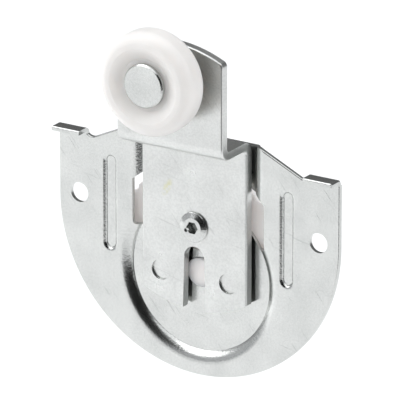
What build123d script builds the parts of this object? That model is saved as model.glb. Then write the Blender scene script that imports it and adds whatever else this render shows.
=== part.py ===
from build123d import *
import os
from math import atan2, cos, pi, radians, sin, sqrt

# Sliding door roller: a half-round mounting plate, a bent hanger that slides in its pressed
# channel, a dial behind the plate that raises and lowers the hanger, and a nylon wheel.
# Millimetres. X runs across, Z up, and the wheel side faces -Y. The origin is the centre
# between the two screw holes, on the plate's front face.

# Mounting plate
sheet = 0.9
plate_half = 34.0
plate_round_z = -0.6
hole_x = 29.05
hole_radius = 2.15
hump_top = 17.7
hump_half = 15.0
hump_corner = 2.0
slope_foot_x = 25.0
slope_foot_z = 13.05
relief_x = 26.25
relief_z = 12.8
tab_inner_x = 27.1
tab_top = 14.6
tab_reach = 3.2
tab_bend = 0.5
tab_corner = 0.3
tab_lip = 0.3
sheet_roll = 0.25

# Pressed dish and channel, with the same wall all round
press_depth = 1.3
press_run = 2.7
press_rim = 3.3
dish_z = -12.8
dish_rim = 19.24
channel_rim = 15.8

# Stiffening ribs
rib_x = 21.5
rib_low = -11.6
rib_high = 10.1
rib_half = 1.9
rib_depth = 0.6
rib_run = 0.95
rib_rim = 0.95
rib_back_rim = 0.1
rib_back_grow = 0.4

# Window over the dial, arched round the hub, with a notch for the follower
window_half = 16.0
window_low = -4.6
window_top_radius = 23.9
window_foot_radius = 16.4
window_corner = 0.7
notch_half = 2.4
notch_low = -7.6
notch_radius = 1.2

# Hanger
strip = 1.9
hanger_half = 12.7
hanger_front = -1.4
arm_front = -10.9
shelf_under = 17.2
bend_inside = 0.9
foot_z = -19.9
foot_radius = 25.4
head_z = 41.25
head_radius = 29.0
head_corner = 1.2
slot_top_z = -6.0
slot_top_half = 2.45
slot_foot_half = 2.8
button_x = 8.2
button_z = -12.6
button_radius = 2.2
button_depth = 0.5
strip_roll = 0.35

# Follower stud, staked through the hanger
follower_z = -1.65
follower_radius = 2.0
follower_flange = 3.25
follower_face = 2.1
follower_side = 0.45
follower_edge = 0.1
follower_height = 0.9
follower_socket = 1.4
follower_socket_depth = 1.8
follower_bore = 1.0
follower_dent = 0.45
follower_dent_x = -1.45
follower_dent_drop = 0.7
follower_washer_radius = 3.5
follower_washer = 0.5
follower_tail = 2.9

# Adjusting dial
hub_z = -12.3
dial_radius = 22.4
dial_gap = 0.15
dial_web = 2.0
dial_rim_height = 0.6
dial_rim_width = 2.0
dial_core = 3.4
scallops = 30
scallop_radius = 1.3
scallop_depth = 0.55
hub_radius = 3.2
hub_front = 0.8
hub_chamfer = 0.25
hub_neck = 2.9
running_gap = 0.1
slot_play = 0.2
rise_per_turn = 11.6
turn_down = 100
turn_up = 170

# Wheel and its rivet
axle_z = 34.4
wheel_radius = 11.1
wheel_front = -21.0
wheel_back = -13.8
tread_flat = 1.1
side_radius = 9.1
recess_radius = 8.0
recess_floor_radius = 5.6
recess_depth = 1.25
boss_radius = 4.4
hub_back_radius = 5.0
hub_back = -13.6
journal_radius = 3.0
journal_play = 0.05
head_gap = 0.08
shoulder_y = -13.5
shank_radius = 2.5
rivet_head_radius = 4.65
rivet_head_front = -20.9
rivet_head = 1.0
rivet_tail_radius = 3.9
rivet_tail = 1.1
washer_radius = 5.6
washer = 0.6
spacer_radius = 4.2
fit_play = 0.02

hanger_back = hanger_front + strip
arm_back = arm_front + strip
floor_front = press_depth
floor_back = press_depth + sheet
dial_front = floor_back + dial_gap
web_back = dial_front + dial_web
follower_rest = follower_z - hub_z


def prism(outline, front, back):
    # an outline drawn in X and Z, from depth Y = front to Y = back
    return extrude(Plane.XZ.offset(-front) * outline, amount=front - back)


def turned(profile, x, z):
    # a half profile of radius and Y, turned about the Y direction through x and z
    return revolve(Plane((x, 0, z)) * profile, Axis((x, 0, z), (0, 1, 0)), 360)


def ring_profile(inner, outer, front, back):
    return make_face(Polyline((inner, front), (outer, front), (outer, back), (inner, back), close=True))


def disc(radius, front, back, x, z, bore=0):
    return turned(ring_profile(bore, radius, front, back), x, z)


def pressed_half(rim, top, start, depth, run, rim_radius):
    # from the middle out to the rim, then down an S-shaped wall of two arcs to the floor
    turn = 2 * atan2(depth, run)
    meet = (rim - rim_radius * sin(turn), top + rim_radius * (1 - cos(turn)))
    floor = (rim - run, top + depth)
    wall = TangentArc((rim, top), meet, tangent=(-1, 0)) + TangentArc(floor, meet, tangent=(1, 0))
    rest = Polyline(floor, (0, top + depth), (0, start), (rim, start), (rim, top))
    return make_face(wall + rest)


def dish_and_channel(front_side):
    # the room in front of the pressed floor, or the swelling behind it one sheet further back
    if front_side:
        top, start, rim_radius = 0, -1, press_rim
    else:
        top, start, rim_radius = sheet, sheet / 2, press_rim - sheet
    dish = turned(pressed_half(dish_rim, top, start, press_depth, press_run, rim_radius), 0, dish_z)
    half = pressed_half(channel_rim, top, start, press_depth, press_run, rim_radius)
    section = Plane.XY.offset(dish_z) * (half + mirror(half, Plane.YZ))
    return dish + extrude(section, amount=hump_top + 2 - dish_z)


def rib(x, front_side):
    if front_side:
        half = pressed_half(rib_half, 0, -1, rib_depth, rib_run, rib_rim)
    else:
        wide = rib_half + rib_back_grow
        half = pressed_half(wide, sheet, sheet / 2, rib_depth, rib_run, rib_back_rim)
    low = rib_low + rib_half
    high = rib_high - rib_half
    section = Plane((x, 0, low)) * (half + mirror(half, Plane.YZ))
    return extrude(section, amount=high - low) + turned(half, x, low) + turned(half, x, high)


def plate_outline():
    # right half of the blank, from the bottom round to the hump, then mirrored
    bottom = plate_round_z - plate_half
    low_arc = ThreePointArc(
        (0, bottom),
        (plate_half * sin(pi / 4), plate_round_z - plate_half * cos(pi / 4)),
        (plate_half, plate_round_z),
    )
    tab_foot = tab_top - sheet - tab_bend
    side = Polyline((plate_half, plate_round_z), (plate_half, tab_foot), (tab_inner_x, tab_foot))
    relief = ThreePointArc((tab_inner_x, tab_foot), (relief_x, relief_z), (slope_foot_x, slope_foot_z))
    crest = Polyline((slope_foot_x, slope_foot_z), (hump_half, hump_top), (0, hump_top), (0, bottom))
    half = make_face(low_arc + side + relief + crest)
    half = fillet(half.vertices().sort_by_distance((hump_half, hump_top, 0))[0], hump_corner)
    return half + mirror(half, Plane.YZ)


def tab():
    # the right-hand tab: a quarter bend, then flat forwards, with its outer corner cut off
    under = tab_top - sheet
    foot = under - tab_bend
    inside = TangentArc((0, foot), (-tab_bend, under), tangent=(0, 1))
    outside = TangentArc((sheet, foot), (-tab_bend, tab_top), tangent=(0, 1))
    flat = Polyline((-tab_bend, under), (-tab_reach, under), (-tab_reach, tab_top), (-tab_bend, tab_top))
    section = make_face(inside + flat + outside + Line((sheet, foot), (0, foot)))
    section = fillet(section.vertices().sort_by_distance((-tab_reach, tab_top, 0))[0], tab_lip)
    body = extrude(Plane.YZ.offset(tab_inner_x) * section, amount=plate_half - tab_inner_x)
    outer = body.edges().filter_by(Axis.Z).group_by(Axis.Y)[0].sort_by(Axis.X)[-1]
    return chamfer(outer, tab_corner)


def window_outline():
    # an arch round the hub, straight at the sides, its foot on the edge of the dish's floor
    wide = Pos(0, window_low + window_top_radius) * Rectangle(2 * window_half, 2 * window_top_radius)
    arch = Pos(0, hub_z) * Circle(window_top_radius) & wide
    corners = arch.vertices().filter_by(lambda v: v.Y < window_low + 0.1)
    arch = fillet(corners, window_corner) - Pos(0, dish_z) * Circle(window_foot_radius)
    notch = Pos(0, notch_low + window_half) * Rectangle(2 * notch_half, 2 * window_half)
    notch = fillet(notch.vertices().filter_by(lambda v: v.Y < notch_low + 0.1), notch_radius)
    return arch + (notch & Pos(0, dish_z) * Circle(window_foot_radius + 0.5))


def mounting_plate():
    blank = prism(plate_outline(), 0, sheet)
    tab_foot = tab_top - sheet - tab_bend
    rim = blank.faces().sort_by(Axis.Y)[0].edges()
    blank = fillet(rim.filter_by(lambda e: abs(e.center().Z - tab_foot) > 0.01), sheet_roll)
    trim = prism(plate_outline(), -0.5, floor_back + 1)
    swell = dish_and_channel(False) + rib(rib_x, False) + rib(-rib_x, False)
    plate = blank + (swell & trim)
    plate -= dish_and_channel(True) + rib(rib_x, True) + rib(-rib_x, True)
    plate += tab() + mirror(tab(), Plane.YZ)
    plate -= prism(window_outline(), -1, floor_back + 1)
    for x in (-hole_x, hole_x):
        plate -= disc(hole_radius, -1, sheet + 1, x, 0)
    return plate - disc(hub_neck + running_gap, 0, floor_back + 1, 0, hub_z)


def hanger_outline():
    # foot and head are arcs, and the open slot widens from its round top to the foot
    foot_edge_z = foot_z + foot_radius - sqrt(foot_radius ** 2 - hanger_half ** 2)
    head_edge_z = head_z - head_radius + sqrt(head_radius ** 2 - hanger_half ** 2)
    foot = ThreePointArc((-hanger_half, foot_edge_z), (0, foot_z), (hanger_half, foot_edge_z))
    head = ThreePointArc((-hanger_half, head_edge_z), (0, head_z), (hanger_half, head_edge_z))
    sides = Line((-hanger_half, foot_edge_z), (-hanger_half, head_edge_z))
    sides += Line((hanger_half, foot_edge_z), (hanger_half, head_edge_z))
    whole = make_face(foot + head + sides)
    whole = fillet(whole.vertices().group_by(Axis.Y)[-1], head_corner)
    shoulder_z = slot_top_z - slot_top_half
    round_top = ThreePointArc((-slot_top_half, shoulder_z), (0, slot_top_z), (slot_top_half, shoulder_z))
    legs = Polyline(
        (slot_top_half, shoulder_z), (slot_foot_half, foot_z - 1),
        (-slot_foot_half, foot_z - 1), (-slot_top_half, shoulder_z),
    )
    return whole - make_face(round_top + legs)


def hanger_side():
    # the strip seen from the side, with its two bends
    shelf_top = shelf_under + strip
    corners = make_face(Polyline(
        (hanger_front, foot_z - 1), (hanger_front, shelf_under), (arm_front, shelf_under),
        (arm_front, head_z + 1), (arm_back, head_z + 1), (arm_back, shelf_top),
        (hanger_back, shelf_top), (hanger_back, foot_z - 1), close=True,
    ))
    inner = [(hanger_front, shelf_under), (arm_back, shelf_top)]
    outer = [(arm_front, shelf_under), (hanger_back, shelf_top)]
    for points, radius in ((inner, bend_inside), (outer, bend_inside + strip)):
        for y, z in points:
            corner = corners.vertices().sort_by_distance((y, z, 0))[0]
            corners = fillet(corner, radius)
    return extrude(Plane.YZ * corners, amount=hanger_half + 1, both=True)


def hanger_plate():
    # the long front edges are rolled over by the shear
    plate = hanger_side() & prism(hanger_outline(), arm_front - 1, hanger_back + 1)
    sides = []
    for edge in plate.edges().filter_by(GeomType.LINE):
        at_front = min(abs(edge.center().Y - hanger_front), abs(edge.center().Y - arm_front)) < 0.01
        if at_front and abs(edge.center().X) > hanger_half - 0.1:
            sides.append(edge)
    plate = fillet(sides, strip_roll)
    for x in (-button_x, button_x):
        plate += disc(button_radius, hanger_back - 0.5, hanger_back + button_depth, x, button_z)
        plate -= disc(button_radius, hanger_front - 1, hanger_front + button_depth, x, button_z)
    plate -= disc(follower_radius + fit_play, hanger_front - 1, hanger_back + 1, 0, follower_z)
    return plate - disc(shank_radius + fit_play, arm_front - 1, arm_back + 1, 0, axle_z)


def follower_rivet():
    # sloped head with a small dent in front, plain shank through the dial's slot, rolled end over the washer
    face = hanger_front - follower_height
    rim = follower_flange - follower_edge
    tail = web_back + running_gap + follower_washer
    profile = make_face(Polyline(
        (0, face), (follower_face, face), (rim, hanger_front - follower_side),
        (follower_flange, hanger_front - follower_side + follower_edge), (follower_flange, hanger_front),
        (follower_radius, hanger_front), (follower_radius, tail), (follower_tail, tail),
        (follower_tail - 0.4, tail + 0.5), (0, tail + 0.5), close=True,
    ))
    stud = turned(profile, 0, follower_z)
    socket = Pos(0, follower_z) * RegularPolygon(follower_socket, 6)
    stud -= prism(socket, face - 1, face + follower_socket_depth)
    dent_z = follower_z - follower_dent_drop
    stud -= disc(follower_dent, face - 1, face + follower_dent, follower_dent_x, dent_z)
    return stud - disc(follower_bore, face, tail + 2, 0, follower_z)


def follower_washer_ring():
    front = web_back + running_gap
    return disc(
        follower_washer_radius, front, front + follower_washer, 0, follower_z, follower_radius + fit_play
    )


def spiral_slot():
    # the slot's middle lies follower_rest from the hub at rest and moves out evenly with the turn
    half = follower_radius + slot_play

    def at(turn, side):
        reach = follower_rest + rise_per_turn * turn / 360 + side
        return (-reach * sin(radians(turn)), reach * cos(radians(turn)))

    steps = 27
    turns = [-turn_down + (turn_up + turn_down) * step / steps for step in range(steps + 1)]
    inner = Spline([at(turn, -half) for turn in turns])
    outer = Spline([at(turn, half) for turn in turns])
    ends = [Line(at(turn, -half), at(turn, half)) for turn in (-turn_down, turn_up)]
    lane = make_face(inner + outer + ends[0] + ends[1])
    for turn in (-turn_down, turn_up):
        lane += Pos(*at(turn, 0)) * Circle(half)
    return Pos(0, hub_z) * lane


def adjusting_dial():
    rim_back = web_back + dial_rim_height
    dial = disc(dial_radius, dial_front, web_back, 0, hub_z)
    dial += disc(dial_radius, web_back - 0.5, rim_back, 0, hub_z, dial_radius - dial_rim_width)
    dial += disc(dial_core, web_back - 0.5, rim_back, 0, hub_z)
    cap_back = floor_front - running_gap / 2
    cap = make_face(Polyline(
        (0, hub_front), (hub_radius - hub_chamfer, hub_front), (hub_radius, hub_front + hub_chamfer),
        (hub_radius, cap_back), (hub_neck, cap_back), (hub_neck, dial_front + 0.5), (0, dial_front + 0.5),
        close=True,
    ))
    dial += turned(cap, 0, hub_z)
    bite_reach = dial_radius + scallop_radius - scallop_depth
    for step in range(scallops):
        turn = 2 * pi * step / scallops
        x, z = bite_reach * sin(turn), hub_z + bite_reach * cos(turn)
        dial -= disc(scallop_radius, dial_front - 1, rim_back + 1, x, z)
    return dial - prism(spiral_slot(), dial_front - 1, rim_back + 1)


def roller_wheel():
    # rounded tread, cone-shaped recess round the rivet's head in front, hollow side behind
    middle = (wheel_front + wheel_back) / 2
    hub_front_y = rivet_head_front + rivet_head + head_gap
    bore = journal_radius + journal_play
    floor = wheel_front + recess_depth
    front_side = TangentArc((wheel_radius, middle - tread_flat), (side_radius, wheel_front), tangent=(0, -1))
    back_side = TangentArc((wheel_radius, middle + tread_flat), (side_radius, wheel_back), tangent=(0, 1))
    front_face = Polyline(
        (bore, hub_front_y), (boss_radius, hub_front_y), (boss_radius, floor),
        (recess_floor_radius, floor), (recess_radius, wheel_front), (side_radius, wheel_front),
    )
    back_face = Polyline(
        (side_radius, wheel_back), (recess_radius, wheel_back),
        (recess_floor_radius + 1, wheel_back - recess_depth), (hub_back_radius, wheel_back - recess_depth),
        (hub_back_radius, hub_back), (bore, hub_back), (bore, hub_front_y),
    )
    tread = Line((wheel_radius, middle - tread_flat), (wheel_radius, middle + tread_flat))
    return turned(make_face(front_face + front_side + tread + back_side + back_face), 0, axle_z)


def wheel_rivet():
    head_back = rivet_head_front + rivet_head
    profile = make_face(Polyline(
        (0, rivet_head_front), (rivet_head_radius - 0.3, rivet_head_front),
        (rivet_head_radius, rivet_head_front + 0.3), (rivet_head_radius, head_back),
        (journal_radius, head_back), (journal_radius, shoulder_y), (shank_radius, shoulder_y),
        (shank_radius, arm_back), (rivet_tail_radius, arm_back),
        (rivet_tail_radius - 0.3, arm_back + rivet_tail * 0.6),
        (rivet_tail_radius - 1.4, arm_back + rivet_tail), (0, arm_back + rivet_tail), close=True,
    ))
    return turned(profile, 0, axle_z)


def wheel_washer():
    return disc(washer_radius, shoulder_y, shoulder_y + washer, 0, axle_z, shank_radius + fit_play)


def wheel_spacer():
    return disc(spacer_radius, shoulder_y + washer, arm_front, 0, axle_z, shank_radius + fit_play)


pieces = {
    "mounting_plate": mounting_plate,
    "hanger_plate": hanger_plate,
    "follower_rivet": follower_rivet,
    "follower_washer": follower_washer_ring,
    "adjusting_dial": adjusting_dial,
    "roller_wheel": roller_wheel,
    "wheel_rivet": wheel_rivet,
    "wheel_washer": wheel_washer,
    "wheel_spacer": wheel_spacer,
}

os.makedirs("parts", exist_ok=True)
for name, build in pieces.items():
    piece = build()
    export_step(piece, f"parts/{name}.step")
    print(name, round(piece.volume, 1))
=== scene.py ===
import math
import bpy
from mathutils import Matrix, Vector


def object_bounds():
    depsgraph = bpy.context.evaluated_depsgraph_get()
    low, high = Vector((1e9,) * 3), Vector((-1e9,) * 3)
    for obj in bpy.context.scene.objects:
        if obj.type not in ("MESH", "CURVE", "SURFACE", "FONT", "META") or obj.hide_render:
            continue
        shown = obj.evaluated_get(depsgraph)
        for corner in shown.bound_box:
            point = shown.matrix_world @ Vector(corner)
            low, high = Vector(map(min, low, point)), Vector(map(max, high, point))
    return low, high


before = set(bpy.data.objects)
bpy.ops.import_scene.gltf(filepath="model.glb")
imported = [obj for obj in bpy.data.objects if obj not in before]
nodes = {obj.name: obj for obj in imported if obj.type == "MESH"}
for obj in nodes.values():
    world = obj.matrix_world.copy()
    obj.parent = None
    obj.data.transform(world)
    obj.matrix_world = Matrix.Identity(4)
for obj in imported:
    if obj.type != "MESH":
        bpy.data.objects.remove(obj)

cadLow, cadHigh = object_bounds()
mm = 0.001


# Helpers that the stage and the materials share.

def direction(azimuth, elevation):
    # unit vector from the object towards a place round it, azimuth 0 in front
    turn, rise = math.radians(azimuth), math.radians(elevation)
    return Vector((math.sin(turn) * math.cos(rise), -math.cos(turn) * math.cos(rise), math.sin(rise)))


def standRound(thing, look):
    # puts a light or a card round the object and turns its back away from it
    away = direction(look["azimuth"], look["elevation"])
    thing.location = away * look["distance"]
    thing.rotation_mode = "QUATERNION"
    thing.rotation_quaternion = away.to_track_quat("Z", "Y")


def addToScene(thing):
    bpy.context.scene.collection.objects.link(thing)


def flatSheet(name, size, level, ring):
    # one level rectangle round the middle; ring is the order of its corners, which sets the side it faces
    wide, high = size[0] / 2, size[1] / 2
    corners = [(-wide, -high, level), (wide, -high, level), (wide, high, level), (-wide, high, level)]
    mesh = bpy.data.meshes.new(name)
    mesh.from_pydata(corners, [], [ring])
    return bpy.data.objects.new(name, mesh)


def startMaterial(name):
    material = bpy.data.materials.new(name)
    material.use_nodes = True
    return material, material.node_tree.nodes["Principled BSDF"]


# Stage: camera, floor, sky, lights and cards.

cameraLook = {
    "azimuth": 32.25, "elevation": 19.69,
    "distance": 1.5,
    "lens": 656.0,
    "near": 0.05, "far": 60,
    "aimDown": 2.1 * mm,  # from the middle between the screw holes
    "lift": 5.556 * mm, "aside": 0.442 * mm,  # then up and across the view
}


def makeCamera(look):
    back = direction(look["azimuth"], look["elevation"])
    aside = Vector((0, 0, 1)).cross(back).normalized()
    upright = back.cross(aside)
    aim = Vector((0, 0, -look["aimDown"])) + upright * look["lift"] + aside * look["aside"]
    data = bpy.data.cameras.new("camera")
    data.lens = look["lens"]
    data.clip_start, data.clip_end = look["near"], look["far"]
    camera = bpy.data.objects.new("camera", data)
    camera.rotation_mode = "QUATERNION"
    camera.rotation_quaternion = (-back).to_track_quat("-Z", "Y")
    camera.location = aim + back * look["distance"]
    addToScene(camera)
    bpy.context.scene.camera = camera


floorLook = {"drop": 0.22, "size": (14.0, 14.0), "shade": (0.9, 0.9, 0.9, 1.0), "rough": 0.9, "gloss": 0.1}


def makeFloor(look):
    floor = flatSheet("floor", look["size"], cadLow.z - look["drop"], (0, 1, 2, 3))
    addToScene(floor)
    paint, shader = startMaterial("floorPaint")
    shader.inputs["Base Color"].default_value = look["shade"]
    shader.inputs["Roughness"].default_value = look["rough"]
    shader.inputs["Specular IOR Level"].default_value = look["gloss"]
    floor.data.materials.append(paint)


skyShade = (0.62, 0.63, 0.65, 1.0)


def makeSky(shade):
    world = bpy.data.worlds.new("studio")
    world.use_nodes = True
    world.node_tree.nodes["Background"].inputs["Color"].default_value = shade
    bpy.context.scene.world = world


# a light that isn't shiny lights the object but leaves no bright patch in the steel
softBoxes = {
    "overhead": {"azimuth": 0, "elevation": 90, "distance": 2.4, "size": (4.2, 4.2), "power": 48, "shiny": True},
    "key": {"azimuth": -50, "elevation": 44, "distance": 1.3, "size": (1.0, 0.9), "power": 7, "shiny": True},
    "leftFill": {"azimuth": -72, "elevation": 6, "distance": 1.2, "size": (0.8, 0.8), "power": 5, "shiny": False},
    "rightFill": {"azimuth": 98, "elevation": 22, "distance": 1.2, "size": (0.8, 0.8), "power": 4, "shiny": False},
}


def softBox(name, look):
    data = bpy.data.lights.new(name, "AREA")
    data.shape = "RECTANGLE"
    data.size, data.size_y = look["size"]
    data.energy = look["power"]
    light = bpy.data.objects.new(name, data)
    standRound(light, look)
    light.visible_glossy = look["shiny"]
    addToScene(light)


# cards that only show in reflections, as the dark side of a studio does in bright steel
darkCards = {
    "frontCard": {"azimuth": 22, "elevation": 11, "distance": 0.5, "size": (0.82, 0.66), "shade": 0.006},
    "rearCard": {"azimuth": 182, "elevation": 20, "distance": 0.6, "size": (1.2, 0.6), "shade": 0.15},
}


def darkCard(name, look):
    card = flatSheet(name, look["size"], 0, (3, 2, 1, 0))
    standRound(card, look)
    addToScene(card)
    card.visible_camera = card.visible_diffuse = card.visible_shadow = card.visible_transmission = False
    cloth, shader = startMaterial(name + "Cloth")
    shader.inputs["Base Color"].default_value = (0, 0, 0, 1)
    shader.inputs["Specular IOR Level"].default_value = 0
    shader.inputs["Emission Color"].default_value = (look["shade"],) * 3 + (1,)
    shader.inputs["Emission Strength"].default_value = 1
    card.data.materials.append(cloth)


makeCamera(cameraLook)
makeFloor(floorLook)
makeSky(skyShade)
for name, look in softBoxes.items():
    softBox(name, look)
for name, look in darkCards.items():
    darkCard(name, look)
bpy.context.scene.view_settings.view_transform = "Standard"
print("stage ready")


# Node helpers. Most return the output that the next step reads.

def feed(tree, value, socket):
    # links another node's output, or sets a plain number or colour
    if isinstance(value, bpy.types.NodeSocket):
        tree.links.new(value, socket)
    else:
        socket.default_value = value


def calculate(tree, operation, first, second):
    node = tree.nodes.new("ShaderNodeMath")
    node.operation = operation
    feed(tree, first, node.inputs[0])
    feed(tree, second, node.inputs[1])
    return node.outputs[0]


def remap(tree, value, span, newLow=0.0, newHigh=1.0):
    # stretches the span, low and high, to run from newLow to newHigh, and cuts off what lies past it
    node = tree.nodes.new("ShaderNodeMapRange")
    tree.links.new(value, node.inputs["Value"])
    for label, number in zip(("From Min", "From Max", "To Min", "To Max"), (*span, newLow, newHigh)):
        node.inputs[label].default_value = number
    return node.outputs["Result"]


def mixColors(tree, factor, first, second):
    node = tree.nodes.new("ShaderNodeMix")
    node.data_type = "RGBA"
    tree.links.new(factor, node.inputs[0])
    feed(tree, first, node.inputs[6])
    feed(tree, second, node.inputs[7])
    return node.outputs[2]


def objectPlace(tree):
    return tree.nodes.new("ShaderNodeTexCoord").outputs["Object"]


def scaled(tree, place, factors):
    # object coordinates stretched by three factors
    node = tree.nodes.new("ShaderNodeMapping")
    node.inputs["Scale"].default_value = factors
    tree.links.new(place, node.inputs["Vector"])
    return node.outputs["Vector"]


def turned(tree, place, turn):
    # object coordinates after a turn about Y, for marks that run at a slant
    node = tree.nodes.new("ShaderNodeMapping")
    node.inputs["Rotation"].default_value = (0, math.radians(turn), 0)
    tree.links.new(place, node.inputs["Vector"])
    return node.outputs["Vector"]


def noise(tree, place, factors, detail):
    # noise per metre: a factor of 1000 gives grains of about a millimetre
    stretched = scaled(tree, place, factors)
    node = tree.nodes.new("ShaderNodeTexNoise")
    tree.links.new(stretched, node.inputs["Vector"])
    node.inputs["Scale"].default_value = 1.0
    node.inputs["Detail"].default_value = detail
    return node.outputs["Fac"]


def addBump(tree, shader, height, strength, depth):
    node = tree.nodes.new("ShaderNodeBump")
    node.inputs["Strength"].default_value = strength
    node.inputs["Distance"].default_value = depth
    tree.links.new(height, node.inputs["Height"])
    tree.links.new(node.outputs["Normal"], shader.inputs["Normal"])


# Zinc plating: broad clouds, fine speckle and a few long thin scratches in two directions.

platingLook = {
    "cloudScale": (140, 140, 140), "cloudDetail": 4, "cloudSpan": (0.3, 0.7),
    "speckleScale": (2400, 2400, 2400), "speckleDetail": 3, "speckleSpan": (0.38, 0.64),
    "patchScale": (75, 75, 75), "patchSpan": (0.42, 0.55),  # where scratches gather
    "steepTurn": 38, "steepScale": (2300, 60, 130), "steepSpan": (0.68, 0.73),
    "flatTurn": -12, "flatScale": (60, 60, 2600), "flatSpan": (0.69, 0.74),
    "scratchDetail": 1,
    "cloudShare": 0.6, "speckleShare": 0.4,  # how much each darkens the colour
    "grainDepth": 0.01 * mm,
}
platingMasks = ("Clouds", "Speckle", "Scratches")


def makePlating(look):
    group = bpy.data.node_groups.new("platingFinish", "ShaderNodeTree")
    group.interface.new_socket("Vector", in_out="INPUT", socket_type="NodeSocketVector")
    for label in platingMasks:
        socket = group.interface.new_socket(label, in_out="INPUT", socket_type="NodeSocketFloat")
        socket.default_value = 0.5
    for label in platingMasks + ("Height",):
        group.interface.new_socket(label, in_out="OUTPUT", socket_type="NodeSocketFloat")
    entry, leave = group.nodes.new("NodeGroupInput"), group.nodes.new("NodeGroupOutput")
    place = entry.outputs["Vector"]
    fine = look["scratchDetail"]
    cloud = noise(group, place, look["cloudScale"], look["cloudDetail"])
    speckle = noise(group, place, look["speckleScale"], look["speckleDetail"])
    patch = noise(group, place, look["patchScale"], fine)
    steep = noise(group, turned(group, place, look["steepTurn"]), look["steepScale"], fine)
    flat = noise(group, turned(group, place, look["flatTurn"]), look["flatScale"], fine)
    lines = calculate(group, "MAXIMUM", remap(group, steep, look["steepSpan"]), remap(group, flat, look["flatSpan"]))
    lines = calculate(group, "MULTIPLY", lines, remap(group, patch, look["patchSpan"]))
    plain = (remap(group, cloud, look["cloudSpan"]), remap(group, speckle, look["speckleSpan"]), lines)
    masks = {}
    for label, value in zip(platingMasks, plain):
        masks[label] = calculate(group, "MULTIPLY", value, entry.outputs[label])
        group.links.new(masks[label], leave.inputs[label])
    height = calculate(group, "SUBTRACT", masks["Speckle"], masks["Scratches"])
    group.links.new(height, leave.inputs["Height"])
    return group


platingFinish = makePlating(platingLook)


def platedSteel(name, look):
    material, shader = startMaterial(name)
    tree = material.node_tree
    place = objectPlace(tree)
    finish = tree.nodes.new("ShaderNodeGroup")
    finish.node_tree = platingFinish
    tree.links.new(place, finish.inputs["Vector"])
    for label in platingMasks:
        finish.inputs[label].default_value = look[label.lower()]
    shader.inputs["Metallic"].default_value = 1.0
    clouds, speckle = finish.outputs["Clouds"], finish.outputs["Speckle"]
    mottle = calculate(tree, "MULTIPLY", clouds, platingLook["cloudShare"])
    mottle = calculate(tree, "ADD", mottle, calculate(tree, "MULTIPLY", speckle, platingLook["speckleShare"]))
    mottle = calculate(tree, "ADD", mottle, finish.outputs["Scratches"])
    tree.links.new(mixColors(tree, mottle, look["pale"], look["deep"]), shader.inputs["Base Color"])
    rough = calculate(tree, "MULTIPLY", clouds, look["roughSpread"])
    rough = calculate(tree, "ADD", rough, look["rough"])
    tree.links.new(rough, shader.inputs["Roughness"])
    addBump(tree, shader, finish.outputs["Height"], look["bump"], platingLook["grainDepth"])
    return material


sheetLook = {
    "pale": (0.605, 0.615, 0.60, 1), "deep": (0.46, 0.47, 0.462, 1),
    "rough": 0.2, "roughSpread": 0.06,
    "clouds": 0.7, "speckle": 1.0, "scratches": 0.8, "bump": 0.9,
}
stripLook = dict(
    sheetLook, pale=(0.66, 0.67, 0.655, 1), deep=(0.51, 0.52, 0.51, 1), rough=0.27, scratches=0.6)
rivetLook = dict(sheetLook, scratches=0.2)
sheetSteel = platedSteel("platedSheet", sheetLook)
stripSteel = platedSteel("platedStrip", stripLook)
rivetSteel = platedSteel("platedRivet", rivetLook)


# A faint yellow chromate smear on the hanger's front: an ellipse broken up by noise.

smudgeLook = {
    "place": (-6.6 * mm, -1.4 * mm, 5.8 * mm), "turn": 28,
    "size": (1.0 * mm, 1.0 * mm, 2.4 * mm),
    "edge": (0.35, 1.0),
    "breakScale": (900, 900, 900), "breakDetail": 2, "breakSpan": (0.35, 0.55),
    "tint": (0.58, 0.575, 0.40, 1),
}


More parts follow.
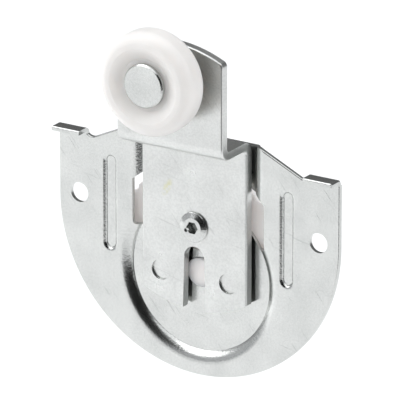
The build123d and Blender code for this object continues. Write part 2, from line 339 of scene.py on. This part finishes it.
def addSmudge(material, look):
    tree = material.node_tree
    shader = tree.nodes["Principled BSDF"]
    place = objectPlace(tree)
    moved = tree.nodes.new("ShaderNodeMapping")
    moved.vector_type = "TEXTURE"
    moved.inputs["Location"].default_value = look["place"]
    moved.inputs["Rotation"].default_value = (0, math.radians(look["turn"]), 0)
    moved.inputs["Scale"].default_value = look["size"]
    tree.links.new(place, moved.inputs["Vector"])
    far = tree.nodes.new("ShaderNodeVectorMath")
    far.operation = "LENGTH"
    tree.links.new(moved.outputs["Vector"], far.inputs[0])
    inside = remap(tree, far.outputs["Value"], look["edge"], 1.0, 0.0)
    broken = noise(tree, place, look["breakScale"], look["breakDetail"])
    mask = calculate(tree, "MULTIPLY", inside, remap(tree, broken, look["breakSpan"]))
    plain = shader.inputs["Base Color"].links[0].from_socket
    tree.links.new(mixColors(tree, mask, plain, look["tint"]), shader.inputs["Base Color"])


addSmudge(stripSteel, smudgeLook)


# Nylon: light gets some way into it, and its colour varies only a little.

nylonLook = {
    "rough": 0.4, "glow": 1.0, "glowReach": 4 * mm, "glowTint": (1.0, 0.95, 0.92),
    "hazeScale": (260, 260, 260), "hazeDetail": 3, "hazeSpan": (0.3, 0.7),
    "grainScale": (3000, 3000, 3000), "grainDetail": 2, "grainDepth": 0.01 * mm, "bump": 0.15,
}
wheelLook = dict(nylonLook, pale=(0.81, 0.795, 0.775, 1), deep=(0.78, 0.765, 0.745, 1), clear=0.22)
dialLook = dict(nylonLook, pale=(0.93, 0.88, 0.855, 1), deep=(0.90, 0.85, 0.825, 1), clear=0.0)


def nylon(name, look):
    material, shader = startMaterial(name)
    tree = material.node_tree
    place = objectPlace(tree)
    haze = noise(tree, place, look["hazeScale"], look["hazeDetail"])
    grain = noise(tree, place, look["grainScale"], look["grainDetail"])
    factor = remap(tree, haze, look["hazeSpan"])
    tree.links.new(mixColors(tree, factor, look["pale"], look["deep"]), shader.inputs["Base Color"])
    shader.inputs["Roughness"].default_value = look["rough"]
    shader.inputs["Subsurface Weight"].default_value = look["glow"]
    shader.inputs["Transmission Weight"].default_value = look["clear"]
    shader.inputs["Subsurface Radius"].default_value = look["glowTint"]
    shader.inputs["Subsurface Scale"].default_value = look["glowReach"]
    addBump(tree, shader, grain, look["bump"], look["grainDepth"])
    return material


wheelNylon = nylon("wheelNylon", wheelLook)
dialNylon = nylon("dialNylon", dialLook)
print("materials ready")


# Finishes on the frame's own pieces.

finishes = {
    "mounting_plate": sheetSteel,
    "hanger_plate": stripSteel,
    "follower_rivet": rivetSteel,
    "follower_washer": rivetSteel,
    "adjusting_dial": dialNylon,
    "roller_wheel": wheelNylon,
    "wheel_rivet": rivetSteel,
    "wheel_washer": rivetSteel,
    "wheel_spacer": rivetSteel,
}
for name, material in finishes.items():
    nodes[name].data.materials.clear()
    nodes[name].data.materials.append(material)
print("finishes on")
